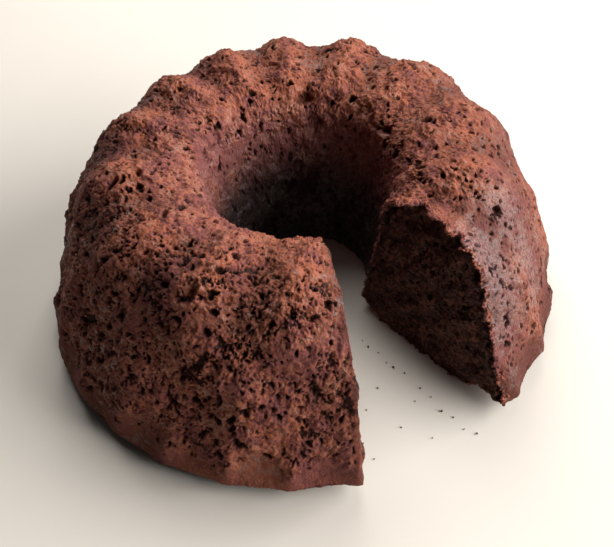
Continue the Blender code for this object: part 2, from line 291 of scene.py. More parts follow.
class CakeFinish(bpy.types.PropertyGroup):
    """Colours and gloss of crust and crumb, with colours of painted shade."""

    ridge_colour: colour("Ridge colour", "Dry orange-brown crumb on the crown", (0.312, 0.088, 0.040))
    skin_colour: colour("Skin colour", "Smooth mauve-brown crust", (0.178, 0.054, 0.045))
    # Painted shade in creases, cavities, lobe valleys and on the left side, and also the tone of damp crust
    shade_and_moist_colour: colour("Dark colour", "Moist crust and creases", (0.060, 0.016, 0.011))
    # Painted shade down the ring's hole and under the ring
    recess_shade_colour: colour("Deep colour", "Crumb inside the ring's hole", (0.012, 0.0075, 0.007))
    # Painted shade inside pores, and in the creases of cut faces
    pore_shade_colour: colour("Pore colour", "Inside of pores", (0.018, 0.007, 0.005))
    crumb_colour: colour("Crumb colour", "Fresh crumb on the cut faces", (0.165, 0.060, 0.038))
    moist_colour: colour("Moist colour", "Moist crumb on the cut faces", (0.040, 0.017, 0.014))
    skin_roughness: share("Skin roughness", "Roughness of smooth crust", 0.27)
    crumb_roughness: share("Crumb roughness", "Roughness of open crumb", 0.75)
    gloss: share("Gloss", "How strongly smooth crust reflects", 0.62)
    crumb_gloss: share("Crumb gloss", "How strongly dry crumb reflects", 0.18)


class CakeStage(bpy.types.PropertyGroup):
    """Camera, floor and light."""

    focal_px: number("Focal length", "In pixels of a 614 pixel wide picture", 1098.9)
    pitch: angle("Pitch", "How far the camera looks down", 48.28)
    roll: angle("Roll", "How far the camera is rolled", -1.75)
    distance: size("Distance", "From the camera to the table along its axis", 0.55593)
    aim_x: size("Aim X", "Where the camera's axis meets the table", 0.00193)
    aim_y: size("Aim Y", "Where the camera's axis meets the table", 0.01036)
    key_power: power("Window power", "Strength of the large window light", 39.0)
    key_turn: angle("Window turn", "Direction of the window from the right", -6.0)
    key_rise: angle("Window rise", "Height of the window's middle over the table", 27.0)
    key_width: size("Window width", "Width of the window light", 1.5)
    key_height: size("Window height", "Height of the window light", 0.8)
    back_power: power("Back power", "Strength of the weaker light from behind", 15.0)
    back_turn: angle("Back turn", "Direction of the light behind, from the right", 95.0)
    back_rise: angle("Back rise", "Height of its middle over the table", 48.0)
    back_size: size("Back size", "Width and height of the light behind", 1.0)
    light_distance: size("Light distance", "From the cake to the lights", 1.2)
    key_colour: colour("Light colour", "Colour of both lights", (0.97, 0.98, 1.0))
    fill_strength: share("Fill strength", "Light from all round", 0.03)
    fill_colour: colour("Fill colour", "Colour of the light from all round", (0.92, 0.95, 1.0))
    floor_colour: colour("Floor colour", "Plain pale floor", (0.68, 0.615, 0.53))


class Term:
    """An output in a node tree. Arithmetic with it adds math nodes, so that a formula reads as one."""

    def __init__(self, sketch, socket):
        self.sketch = sketch
        self.socket = socket

    def __add__(self, other):
        return self.sketch.math("ADD", self, other)

    def __sub__(self, other):
        return self.sketch.math("SUBTRACT", self, other)

    def __rsub__(self, other):
        return self.sketch.math("SUBTRACT", other, self)

    def __mul__(self, other):
        return self.sketch.math("MULTIPLY", self, other)

    def __truediv__(self, other):
        return self.sketch.math("DIVIDE", self, other)

    def __rtruediv__(self, other):
        return self.sketch.math("DIVIDE", other, self)


class Sketch:
    """Adds nodes to a tree and links them."""

    def __init__(self, tree):
        self.tree = tree
        self.count = 0

    def add(self, kind, *values, **settings):
        node = self.tree.nodes.new(kind)
        node.location = (180.0 * (self.count % 24), -260.0 * (self.count // 24))
        self.count += 1
        inputs = settings.pop("inputs", {})
        for name, value in settings.items():
            setattr(node, name, value)
        for key, value in [*enumerate(values), *inputs.items()]:
            self.fill(node.inputs[key], value)
        return node

    def fill(self, socket, value):
        """Links an input to an output, or sets the value on it."""
        if isinstance(value, Term):
            value = value.socket
        if isinstance(value, bpy.types.NodeSocket):
            self.tree.links.new(value, socket)
        elif value is not None:
            socket.default_value = value

    def math(self, operation, *values):
        return Term(self, self.add("ShaderNodeMath", *values, operation=operation).outputs[0])

    def vector(self, operation, *values):
        return self.add("ShaderNodeVectorMath", *values, operation=operation).outputs[0]

    def scaled(self, vector, factor):
        node = self.add("ShaderNodeVectorMath", vector, operation="SCALE", inputs={"Scale": factor})
        return node.outputs[0]

    def ramp(self, value, low, high, start=0.0, end=1.0):
        """A smooth step of the value between low and high."""
        step = self.add("ShaderNodeMapRange", value, low, high, start, end, interpolation_type="SMOOTHSTEP")
        return Term(self, step.outputs[0])

    def mix(self, factor, first, second):
        return self.add("ShaderNodeMix", data_type="RGBA", inputs={0: factor, 6: first, 7: second}).outputs[2]

    def clouds(self, place, scale, detail, roughness):
        return self.add("ShaderNodeTexNoise", inputs={
            "Vector": place, "Scale": scale, "Detail": detail, "Roughness": roughness}).outputs

    def noise(self, place, scale, detail=2.0, roughness=0.5):
        return Term(self, self.clouds(place, scale, detail, roughness)[0])

    def stray(self, place, scale):
        """A vector of noise round nought."""
        return self.vector("SUBTRACT", self.clouds(place, scale, 2.0, 0.5)[1], (0.5, 0.5, 0.5))

    def cells(self, place, stray_scale, warp):
        """Outputs of cells scattered in space, with uneven borders."""
        warped = self.vector("ADD", place, self.scaled(self.stray(place, stray_scale), warp))
        return self.add("ShaderNodeTexVoronoi", inputs={"Vector": warped, "Scale": 1.0}).outputs

    def named(self, name):
        """A number that the mesh carries at each point."""
        if self.tree.bl_idname == "ShaderNodeTree":
            return Term(self, self.add("ShaderNodeAttribute", attribute_name=name).outputs["Fac"])
        node = self.add("GeometryNodeInputNamedAttribute", data_type="FLOAT", inputs={"Name": name})
        return Term(self, node.outputs[0])


def new_tree(name, inputs, outputs):
    """A geometry node tree with its interface: its sketch, its inputs by name and the inputs of its end."""
    tree = bpy.data.node_groups.new(name, "GeometryNodeTree")
    for direction, sockets in (("INPUT", inputs), ("OUTPUT", outputs)):
        for label, kind in sockets.items():
            tree.interface.new_socket(label, in_out=direction, socket_type="NodeSocket" + kind)
    sketch = Sketch(tree)
    start = sketch.add("NodeGroupInput")
    end = sketch.add("NodeGroupOutput")
    given = {socket.name: Term(sketch, socket) for socket in start.outputs if socket.name}
    return sketch, given, end.inputs


def pore_group():
    """Round-edged holes scattered in space: how open the crust is, and how wide the hole is."""
    labels = ("Cell", "Share", "Widest", "Narrowest", "Warp", "Seed")
    s, given, result = new_tree("Pore Layer", {"Place": "Vector", **dict.fromkeys(labels, "Float")},
                                {"Open": "Float", "Width": "Float"})
    place = s.scaled(given["Place"], 1.0 / given["Cell"])
    place = s.vector("ADD", place, s.add("ShaderNodeCombineXYZ", given["Seed"], given["Seed"]).outputs[0])
    cells = s.cells(place, 1.1, given["Warp"])
    dice = s.add("ShaderNodeSeparateXYZ", cells["Color"]).outputs
    kept = s.math("LESS_THAN", dice[0], given["Share"])
    width = s.math("POWER", dice[1], 1.7) * (given["Widest"] - given["Narrowest"]) + given["Narrowest"]
    inside = 1.0 - s.math("DIVIDE", cells["Distance"], width)
    s.fill(result["Open"], s.ramp(inside, 0.0, 0.45) * kept)
    s.fill(result["Width"], width / given["Widest"])
    return s.tree


def crumb_group():
    """Rounded crumbs packed side by side with creases between them, as a height round nought."""
    s, given, result = new_tree("Crumb Layer", {"Place": "Vector", "Size": "Float", "Warp": "Float"},
                                {"Height": "Float"})
    cells = s.cells(s.scaled(given["Place"], 1.0 / given["Size"]), 1.7, given["Warp"])
    s.fill(result["Height"], s.math("SUBTRACT", 0.48, cells["Distance"]))
    return s.tree


def flute_relief(s, given):
    """Height of the crust over the plain ring, from lobes, flutes, swells and sag."""
    half_turn = s.named("flute_turn") * math.pi
    quarter_turn = half_turn * 0.5
    lobe, flute, short = s.named("lobe"), s.named("flute"), s.named("short_ridge")
    valley = s.math("ABSOLUTE", s.math("SINE", quarter_turn))
    lobe_wave = s.math("COSINE", half_turn) + (0.5 - valley) * given["Lobe sharpness"]
    height = lobe_wave * lobe * (given["Lobe depth"] * 0.5)
    wide = (1.0 - short) * given["Scallop share"]
    scallop = s.math("ABSOLUTE", s.math("COSINE", quarter_turn))
    hollow = s.math("ABSOLUTE", s.math("SINE", half_turn)) * short + scallop * wide
    rounded = s.math("SQRT", hollow * hollow + given["Flute rounding"] * given["Flute rounding"])
    mean = wide * given["Scallop mean"] + short * given["Flute mean"]
    height = (mean - rounded) * flute * given["Flute depth"] + height
    around, place = s.named("ring_angle"), s.named("place")
    swell = s.math("MINIMUM", lobe + flute, 1.0) * given["Swell depth"]
    for count, along in zip(SWELL_AROUND, SWELL_ALONG):
        first = s.math("SINE", around * float(count) + along)
        second = s.math("COSINE", place * (2.0 * math.pi * along) + float(count))
        height = first * second * swell + height
    return height - s.named("lowered")


def ring_tree():
    """Raises lobes and flutes on the plain ring, then opens pores and holes and roughens the crumb."""
    pores, crumbs = pore_group(), crumb_group()
    numbers = dict.fromkeys(FORM_INPUTS + CRUMB_INPUTS, "Float")
    s, given, result = new_tree("Baked Ring", {"Geometry": "Geometry", **numbers, "Crust": "Material",
                                               "Crumb": "Material"}, {"Geometry": "Geometry"})
    outward = s.add("GeometryNodeInputNamedAttribute", data_type="FLOAT_VECTOR", inputs={"Name": "outward"})
    raised = s.scaled(outward.outputs[0], flute_relief(s, given))
    formed = s.add("GeometryNodeSetPosition", given["Geometry"], inputs={"Offset": raised}).outputs[0]
    place = s.add("GeometryNodeInputPosition").outputs[0]
    squashed = s.add("ShaderNodeCombineXYZ", 1.0, 1.0, 1.0 / given["Pore stretch"]).outputs[0]
    tall = s.vector("MULTIPLY", place, squashed)

    def layer(label, share_here, widest, narrowest, warp, seed_step):
        made = s.add("GeometryNodeGroup", node_tree=pores, inputs={
            "Place": tall, "Cell": given[label + " cell"], "Widest": widest, "Narrowest": narrowest,
            "Share": given[label + " share"] * share_here, "Warp": warp,
            "Seed": given["Seed"] + seed_step}).outputs
        return s.math("MULTIPLY", made["Open"], made["Width"]) * given[label + " depth"]

    def clumps(where, label, detail):
        return s.noise(where, 1.0 / given[label + " size"], detail, 0.6) - 0.5

    small = layer("Pore", s.named("pored"), widest=0.52, narrowest=0.25, warp=1.2, seed_step=0.0)
    large = layer("Hole", s.named("holed"), widest=0.46, narrowest=0.16, warp=1.6, seed_step=31.0)
    fray = (s.noise(place, 420.0, 2.0, 0.6) - 0.5) * 0.7
    hollow = s.ramp(s.named("hollow") + fray, 0.0, 0.75) * s.named("hollow_depth")
    slick = s.ramp(s.noise(place, 1.0 / given["Slick size"]), 0.52, 0.64)
    crumbly = s.named("crumbly") * (1.0 - slick * 0.7)
    grain = s.add("GeometryNodeGroup", node_tree=crumbs, inputs={
        "Place": place, "Size": given["Grain size"], "Warp": 0.6}).outputs["Height"]
    flake, chunk, lump = clumps(place, "Flake", 2.0), clumps(tall, "Chunk", 3.0), clumps(place, "Lump", 2.0)
    patchy = s.noise(place, 80.0) * 0.70 - 0.35
    torn = s.ramp(flake * 0.45 + chunk + patchy, -0.105, -0.165)
    torn = torn * s.named("torn") * given["Torn depth"] * (1.0 - slick * 0.6)
    bored = s.math("MAXIMUM", s.math("MAXIMUM", small, large), torn)
    crumb = s.math("MULTIPLY", grain, given["Grain depth"]) + flake * given["Flake depth"]
    crumb = crumb + chunk * crumbly * given["Chunk depth"]
    crumb = crumb * s.ramp(crumbly, 0.0, 1.0, given["Skin share"], 1.0)
    ripple = lump * s.ramp(crumbly, 0.0, 0.6, 0.35, 1.0)
    lifted = ripple * given["Lump depth"] + crumb - s.math("MAXIMUM", bored, hollow)
    rough = crumbly * 0.9 + 0.25 - slick * 0.25

    # Depths and heights in metres between which each mark grows from nought to one
    # The marks for creases and cavities carry painted shade into the materials, and the crumb's height
    # carries painted light on crumb tops
    stored = formed
    for name, value in (("pit", s.ramp(bored, 0.00006, 0.0004)), ("cave_shade", s.ramp(hollow, 0.0002, 0.0020)),
                        ("crease_shade", s.ramp(crumb, -0.00005, -0.00055)),
                        ("proud", s.ramp(crumb, -0.0006, 0.0006)), ("rough", rough)):
        stored = s.add("GeometryNodeStoreNamedAttribute", stored, None, name, value,
                       data_type="FLOAT", domain="POINT").outputs[0]
    moved = s.scaled(s.add("GeometryNodeInputNormal").outputs[0], lifted * s.named("relief"))
    shaped = s.add("GeometryNodeSetPosition", stored, inputs={"Offset": moved}).outputs[0]
    real = s.add("GeometryNodeRealizeInstances", shaped).outputs[0]
    dressed = s.add("GeometryNodeSetMaterial", real, inputs={"Material": given["Crust"]}).outputs[0]
    on_cut = s.math("GREATER_THAN", s.named("cut"), 0.5)
    dressed = s.add("GeometryNodeSetMaterial", dressed, on_cut, given["Crumb"]).outputs[0]
    s.fill(result["Geometry"], dressed)
    return s.tree


def crumb_tree():
    """Puts one uneven crumb on each point, turned and sized at random, and makes them one mesh."""
    s, given, result = new_tree("Scattered Crumbs", {
        "Geometry": "Geometry", "Flatness": "Float", "Unevenness": "Float", "Seed": "Int",
        "Material": "Material"}, {"Geometry": "Geometry"})

    def dice(low, high):
        return s.add("FunctionNodeRandomValue", data_type="FLOAT_VECTOR",
                     inputs={0: low, 1: high, "Seed": given["Seed"]}).outputs[0]

    ball = s.add("GeometryNodeMeshIcoSphere", inputs={"Radius": 0.5, "Subdivisions": 1}).outputs[0]
    spin = dice((0.0, 0.0, 0.0), (2.0 * math.pi,) * 3)
    stretch = dice((0.75, 0.7, 0.6), (1.3, 1.1, 1.0))
    flat = s.add("ShaderNodeCombineXYZ", 1.0, 1.0, given["Flatness"]).outputs[0]
    placed = s.add("GeometryNodeInstanceOnPoints", given["Geometry"], inputs={
        "Instance": ball, "Rotation": spin, "Scale": s.vector("MULTIPLY", stretch, flat)}).outputs[0]
    widths = s.scaled((1.0, 1.0, 1.0), s.named("width"))
    sized = s.add("GeometryNodeScaleInstances", placed, inputs={"Scale": widths}).outputs[0]
    real = s.add("GeometryNodeRealizeInstances", sized).outputs[0]
    place = s.add("GeometryNodeInputPosition").outputs[0]
    knock = s.scaled(s.stray(place, 1400.0), given["Unevenness"])
    uneven = s.add("GeometryNodeSetPosition", real, inputs={"Offset": knock}).outputs[0]
    s.fill(result["Geometry"],
           s.add("GeometryNodeSetMaterial", uneven, inputs={"Material": given["Material"]}).outputs[0])
    return s.tree


def shaped_mesh(mesh, tree, values, name):
    """Runs a tree on a mesh and gives the plain mesh that comes out."""
    carrier = bpy.data.objects.new(name + "_blank", mesh)
    bpy.context.scene.collection.objects.link(carrier)
    modifier = carrier.modifiers.new(tree.name, "NODES")
    modifier.node_group = tree
    sockets = {item.name: item.identifier for item in tree.interface.items_tree
               if item.item_type == "SOCKET" and item.in_out == "INPUT"}
    for label, value in values.items():
        modifier[sockets[label]] = value
    graph = bpy.context.evaluated_depsgraph_get()
    made = bpy.data.meshes.new_from_object(carrier.evaluated_get(graph), depsgraph=graph)
    made.name = name
    bpy.data.objects.remove(carrier, do_unlink=True)
    bpy.data.meshes.remove(mesh)
    return made


def even_run(radius, height, spacing):
    """Points of a curve, spaced evenly along it, without its last one."""
    run = np.concatenate([[0.0], np.cumsum(np.hypot(np.diff(radius), np.diff(height)))])
    count = max(3, int(round(run[-1] / spacing)))
    at = np.linspace(0.0, run[-1], count + 1)[:-1]
    return np.interp(at, run, radius), np.interp(at, run, height)


def underside_height(form, radius):
    """Flat on the table between the rest radii, rising to the hole's foot and to the groove at the lip."""
    inward = form.lip_height * (1.0 - smooth_step(form.hole_foot_radius, form.rest_inner_radius, radius))
    outward = form.groove_height * smooth_step(form.rest_outer_radius, form.groove_radius, radius)
    fall = (form.groove_height - form.lip_height) * smooth_step(form.groove_radius, form.lip_radius, radius)
    return inward + outward - fall


def rounded_lip(radius, height, reach):
    """Rounds the section's corner at the foot, where its last point meets its first."""
    step = np.hypot(np.roll(radius, -1) - radius, np.roll(height, -1) - height)
    ahead = np.concatenate([[0.0], np.cumsum(step)[:-1]])
    behind = step.sum() - ahead
    near = np.where(ahead < behind, ahead, -behind)
    first = [np.interp(reach, ahead, values) for values in (radius, height)]
    last = [np.interp(step.sum() - reach, ahead, values) for values in (radius, height)]
    along = np.clip((near + reach) / (2.0 * reach), 0.0, 1.0)
    bends = []
    for axis, values in enumerate((radius, height)):
        ends = (1.0 - along) ** 2 * last[axis] + along ** 2 * first[axis]
        curve = ends + 2.0 * along * (1.0 - along) * values[0]
        bends.append(np.where(np.abs(near) < reach, curve, values))
    return bends


def ring_section(form, spacing):
    """The closed section, from the lip up the wall, over the crown, down the hole and back underneath."""
    turn = np.linspace(0.0, np.pi / 2, 2000)
    wall = (form.crest_radius + (form.lip_radius - form.crest_radius) * np.cos(turn) ** form.wall_rounding,
            form.lip_height + (form.crest_height - form.lip_height) * np.sin(turn) ** form.wall_steepness)
    bend = 2.0 / form.shoulder_squareness
    shoulder = (form.crest_radius - (form.crest_radius - form.hole_top_radius) * np.sin(turn) ** bend,
                form.crest_height - form.shoulder_drop * (1.0 - np.cos(turn) ** bend))
    hole = (np.array([form.hole_top_radius, form.hole_foot_radius]),
            np.array([form.crest_height - form.shoulder_drop, form.lip_height]))
    under_radius = np.linspace(form.hole_foot_radius, form.lip_radius, 800)
    under = (under_radius, underside_height(form, under_radius))
    parts = [even_run(*curve, spacing * factor)
             for curve, factor in ((wall, 1.0), (shoulder, 1.1), (hole, 1.7), (under, 3.0))]
    radius, height = (np.concatenate([part[axis] for part in parts]) for axis in (0, 1))
    kind = np.repeat(np.arange(4), [len(part[0]) for part in parts])
    rise = (height - form.lip_height) / (form.crest_height - form.lip_height)
    inward = (form.crest_radius - radius) / (form.crest_radius - form.hole_top_radius)
    lobe = np.select([kind == WALL, kind == SHOULDER], [smooth_step(*LOBE_GROWTH, rise), 1.0 - inward], 0.0)
    foot = smooth_step(form.groove_radius, form.lip_radius, radius)
    pocket = 1.0 + form.pocket_share * bell(rise, form.pocket_rise, 1.2 * form.pocket_rise)
    ridged = (1.0 - smooth_step(*LONG_RIDGE_FADE, rise)) * pocket
    flute = np.select([kind == WALL, kind == UNDERSIDE], [ridged, foot], 0.0)
    short = 1.0 - smooth_step(*SHORT_RIDGE_FADE, rise)
    run = np.concatenate([[0.0], np.cumsum(np.hypot(np.diff(radius), np.diff(height)))])
    radius, height = rounded_lip(radius, height, form.lip_rounding)
    along = np.stack([np.roll(radius, -1) - np.roll(radius, 1), np.roll(height, -1) - np.roll(height, 1)])
    along /= np.hypot(*along)
    return {"radius": radius, "height": height, "out": along[1], "up": -along[0],
            "lobe": lobe, "flute": flute, "short": short, "kind": kind, "run": run,
            "near_edge": np.where(kind == UNDERSIDE, 1.0, 1.0 - smooth_step(0.0, 0.10, rise))}


def wavy(values, rng, length, waves=9):
    """An uneven line of about unit height, from waves of many lengths round the given one."""
    line = np.zeros_like(values)
    for share_of_length in rng.uniform(0.3, 1.6, waves):
        turn = 2.0 * np.pi / (length * share_of_length)
        line += share_of_length * np.sin(turn * values + rng.uniform(0.0, 2.0 * np.pi))
    return line / math.sqrt(waves)


def cavity_fields(around, run, radius):
    """How far inside the nearest cavity each point is, 1 in its middle and 0 at its rim, and its depth."""
    inside = np.full(around.shape, -4.0)
    depth = np.zeros(around.shape)
    for degrees, up, length, width, deep, turn in CAVITIES:
        across = between(around, degrees) * radius * 1000.0
        along = run * 1000.0 - up
        tilt = math.radians(turn)
        first = (across * math.cos(tilt) + along * math.sin(tilt)) / (length / 2.0)
        second = (along * math.cos(tilt) - across * math.sin(tilt)) / (width / 2.0)
        here = 1.0 - np.hypot(first, second)
        nearer = here > inside
        inside = np.where(nearer, here, inside)
        depth = np.where(nearer, deep / 1000.0, depth)
    return inside, depth


def crust_zones(form, around, turn, from_right_cut, from_left_cut, part, rng):
    """How crumbly, pored, torn, dry, damp and glossy each point of the crust is, and where painted shade
    darkens it, as shares of one.
    """
    run = part["run"] * 1000.0
    on_crust = part["kind"] <= SHOULDER
    kinds = [part["kind"] == kind for kind in (WALL, SHOULDER, HOLE, UNDERSIDE)]
    front, right, left = on_side(around, *FRONT), on_side(around, *RIGHT), on_side(around, *LEFT)
    band_top = FOOT_BAND + FOOT_BAND_WAVE * wavy(around * 100.0, rng, 40.0)
    above_band = smooth_step(-7.0, 8.0, run - band_top)
    wall, low_wall, damp_wall = (smooth_step(*fade, run) for fade in (WALL_TOP, LOW_WALL_TOP, DAMP_WALL_TOP))
    crown = 1.0 - wall
    to_hole = smooth_step(*HOLE_RIM, run)
    ridge = 1.0 - np.abs(np.cos(0.5 * np.pi * turn))
    # Valleys between lobes, which darken the crust below as painted shade
    valley = (0.5 - 0.5 * np.cos(np.pi * turn)) * part["lobe"]
    sheen = on_side(around, *SHEEN) * smooth_step(18.0, 45.0, run)
    off_left_cut = smooth_step(0.0005, 0.0040, from_left_cut)
    at_right_cut = (1.0 - smooth_step(0.0, 0.0045, from_right_cut)) * smooth_step(2.0, 12.0, run) * on_crust
    down = form.crest_height - form.shoulder_drop - part["height"]

    crumbly_wall = wall * (0.62 + 0.30 * front - 0.15 * left - 0.37 * right) + 0.48 * crown
    pored_wall = 0.40 + wall * (0.15 + 0.15 * left) + 0.60 * right * low_wall
    torn_wall = wall * (0.32 + 0.32 * front - 0.28 * right) + 0.12 * crown
    dry_wall = 0.30 * (1.0 - damp_wall) + wall * (0.04 * front + 0.30 * right * ridge - 0.30 * sheen)
    # Damp crust, with painted shade added on the left side
    moist_and_shade_wall = damp_wall * (0.22 + 0.38 * left - 0.28 * front + right * (0.34 - 0.24 * ridge))
    sleek_wall = 0.16 * wall + sheen * wall * (1.0 - ridge) * smooth_step(104.0, 84.0, run)
    crumbly = np.select(kinds, [above_band * crumbly_wall, 0.56 - 0.06 * to_hole, 0.50, 0.3])
    holed = np.select(kinds, [above_band * (0.55 + 0.35 * front + 0.20 * crown), 0.75, 0.20, 0.0])
    torn = np.select(kinds, [above_band * torn_wall, 0.12, 0.1, 0.0])
    dry = np.select(kinds, [0.45 + 0.25 * right * (1.0 - above_band) + above_band * dry_wall,
                            0.75 - 0.25 * left - 0.6 * to_hole, 0.15, 0.4])
    moist = np.select(kinds, [moist_and_shade_wall + (0.28 + 0.22 * right) * (1.0 - above_band), 0.0, 0.1, 0.5])
    cleaner = 0.35 + 0.65 * off_left_cut
    # Lobe valleys add painted shade to the damp mark
    return {"crumbly": np.maximum(crumbly, 0.9 * at_right_cut) * cleaner, "holed": holed * cleaner,
            "torn": torn * cleaner, "pored": np.select(kinds, [above_band * pored_wall, 0.40, 0.70, 0.0]),
            "dry": np.maximum(dry, 0.65 * at_right_cut), "moist": moist + 0.50 * valley ** 2,
            "sleek": np.select(kinds, [0.10 + above_band * sleek_wall, 0.26 + 0.30 * to_hole, 0.55, 0.0]),
            # Painted shade: darker down the hole, at the hole's rim and under the ring
            "deep": np.select(kinds, [0.0, 0.06 * smooth_step(150.0, 158.0, run),
                                      0.06 + 0.86 * smooth_step(0.0, 0.032, down), 0.5]),
            "relief": 0.25 + 0.75 * off_left_cut}


def ring_points(form, around, radius, height):
    """Points of the slightly oval ring at angles round its axis."""
    oval = radius * (1.0 + form.ovalness * np.cos(2.0 * (around - form.oval_direction)))
    return np.stack([oval * np.cos(around), oval * np.sin(around), height + 0.0 * around], axis=-1)


def plain_ring(form, crumb, spacing):
    """The ring before its relief, column by column from the right cut to the left one, with its fields."""
    rng = np.random.default_rng(crumb.seed)
    part = ring_section(form, spacing)
    radius, height = part["radius"], part["height"]
    on_crust = part["kind"] <= SHOULDER
    overhang = sum(out * bell(radius * 1000.0, middle, reach) for middle, reach, out in EDGE_BREAKS)
    calmer = np.where(part["kind"] == UNDERSIDE, 0.5, 0.8)
    stray = [ragged * calmer * wavy(part["run"], rng, crumb.ragged_length)
             for ragged in (crumb.right_ragged, crumb.left_ragged)]
    straight = [form.right_cut_angle + np.arcsin(form.right_cut_offset / radius),
                form.left_cut_angle + np.arcsin(form.left_cut_offset / radius)]
    start = straight[0] + (stray[0] - overhang / 1000.0 * on_crust) / radius
    end = straight[1] + stray[1] / radius
    middle_radius = 0.5 * (form.lip_radius + form.crest_radius)
    columns = int(round((form.left_cut_angle - form.right_cut_angle) * middle_radius / spacing))
    around = start + (end - start) * np.linspace(0.0, 1.0, columns)[:, None]

    drift = form.flute_drift * np.sin(around - form.flute_drift_start)
    lean = form.ridge_lean * (1.0 - part["short"]) * np.cos(2.0 * (around - form.lean_direction))
    turn = FLUTE_COUNT * (around - form.flute_start - drift) / (2.0 * np.pi) + lean
    worn = form.worn_edge * part["near_edge"] * (1.0 - on_side(around, *SHARP_FOOT))
    sag = form.sag_depth * part["lobe"] * (1.0 - smooth_step(0.0, form.sag_reach, around - start))
    hollow, hollow_depth = cavity_fields(around, part["run"], radius)
    fields = {"ring_angle": around, "flute_turn": turn, "place": np.linspace(0.0, 1.0, len(radius)),
              "lobe": part["lobe"], "flute": part["flute"] * (1.0 - worn), "short_ridge": part["short"],
              "lowered": sag, "hollow": np.where(on_crust, hollow, -4.0), "hollow_depth": hollow_depth,
              "cut": 0.0}
    from_cuts = (around - start) * radius, (end - around) * radius
    fields.update(crust_zones(form, around, turn, *from_cuts, part, rng))
    fields = {name: np.broadcast_to(values, around.shape) for name, values in fields.items()}
    points = ring_points(form, around, radius, height)
    outward = ring_points(form, around, part["out"], part["up"])
    plain_edges = [ring_points(form, edge, radius, height) for edge in straight]
    return points, outward, fields, part, plain_edges


def cut_rings(form, crumb, spacing, edge, plain_edge, hub, outward, part, torn):
    """Rings of points that close a cut inside its ragged edge, and how far each is inside the edge."""
    reach = np.linalg.norm(plain_edge - hub, axis=1)
    rings = int(round(reach.mean() / (1.25 * spacing)))
    scales = np.linspace(1.0, 0.0, rings + 1)[1:-1, None]
    inset = reach * (1.0 - scales)
    still_ragged = 1.0 - smooth_step(0.0, form.ragged_fade, inset)
    shape = hub + (plain_edge - hub) * scales[..., None] + (edge - plain_edge) * still_ragged[..., None]
    far, tall = np.hypot(shape[..., 0], shape[..., 1]), shape[..., 2]
    depth = np.zeros_like(far)
    for wave in range(CUT_WAVES):
        length = crumb.cut_lump * (1.0 + CUT_WAVE_GROWTH * wave)
        run = far * math.cos(wave * GOLDEN_ANGLE) + tall * math.sin(wave * GOLDEN_ANGLE)
        depth += crumb.cut_relief * np.sin(2.0 * np.pi * run / length + wave)
    if torn:
        under_crust = smooth_step(0.3 * form.crust_thickness, 1.6 * form.crust_thickness, inset)
        away = np.hypot(far - form.tear_radius, tall - form.tear_height)
        depth -= under_crust * form.tear_depth * (1.0 - smooth_step(0.0, form.tear_reach, away))
        groove = bell(inset, 2.0 * form.crust_thickness, 1.7 * form.crust_thickness)
        depth -= form.undercut_depth * groove * (part["kind"] <= SHOULDER)
    return shape + outward * depth[..., None], inset


def strip(first, second):
    """Quads between two closed rows of point numbers."""
    return np.stack([first, second, np.roll(second, -1), np.roll(first, -1)], axis=-1)


def mesh_from(name, points, faces, fields=None):
    """A smooth mesh from points and arrays of faces with equal numbers of corners."""
    mesh = bpy.data.meshes.new(name)
    sizes = np.concatenate([np.full(len(group), group.shape[1]) for group in faces])
    corners = np.concatenate([group.reshape(-1) for group in faces]).astype(np.int32)
    mesh.vertices.add(len(points))
    mesh.vertices.foreach_set("co", np.asarray(points, np.float32).reshape(-1))
    mesh.loops.add(len(corners))
    mesh.loops.foreach_set("vertex_index", corners)
    mesh.polygons.add(len(sizes))
    mesh.polygons.foreach_set("loop_start", (np.cumsum(sizes) - sizes).astype(np.int32))
    for field_name, values in (fields or {}).items():
        values = np.asarray(values, np.float32)
        layer = mesh.attributes.new(field_name, "FLOAT_VECTOR" if values.ndim == 2 else "FLOAT", "POINT")
        layer.data.foreach_set("vector" if values.ndim == 2 else "value", values.reshape(-1))
    mesh.update(calc_edges=True)
    mesh.polygons.foreach_set("use_smooth", np.ones(len(sizes), bool))
    return mesh


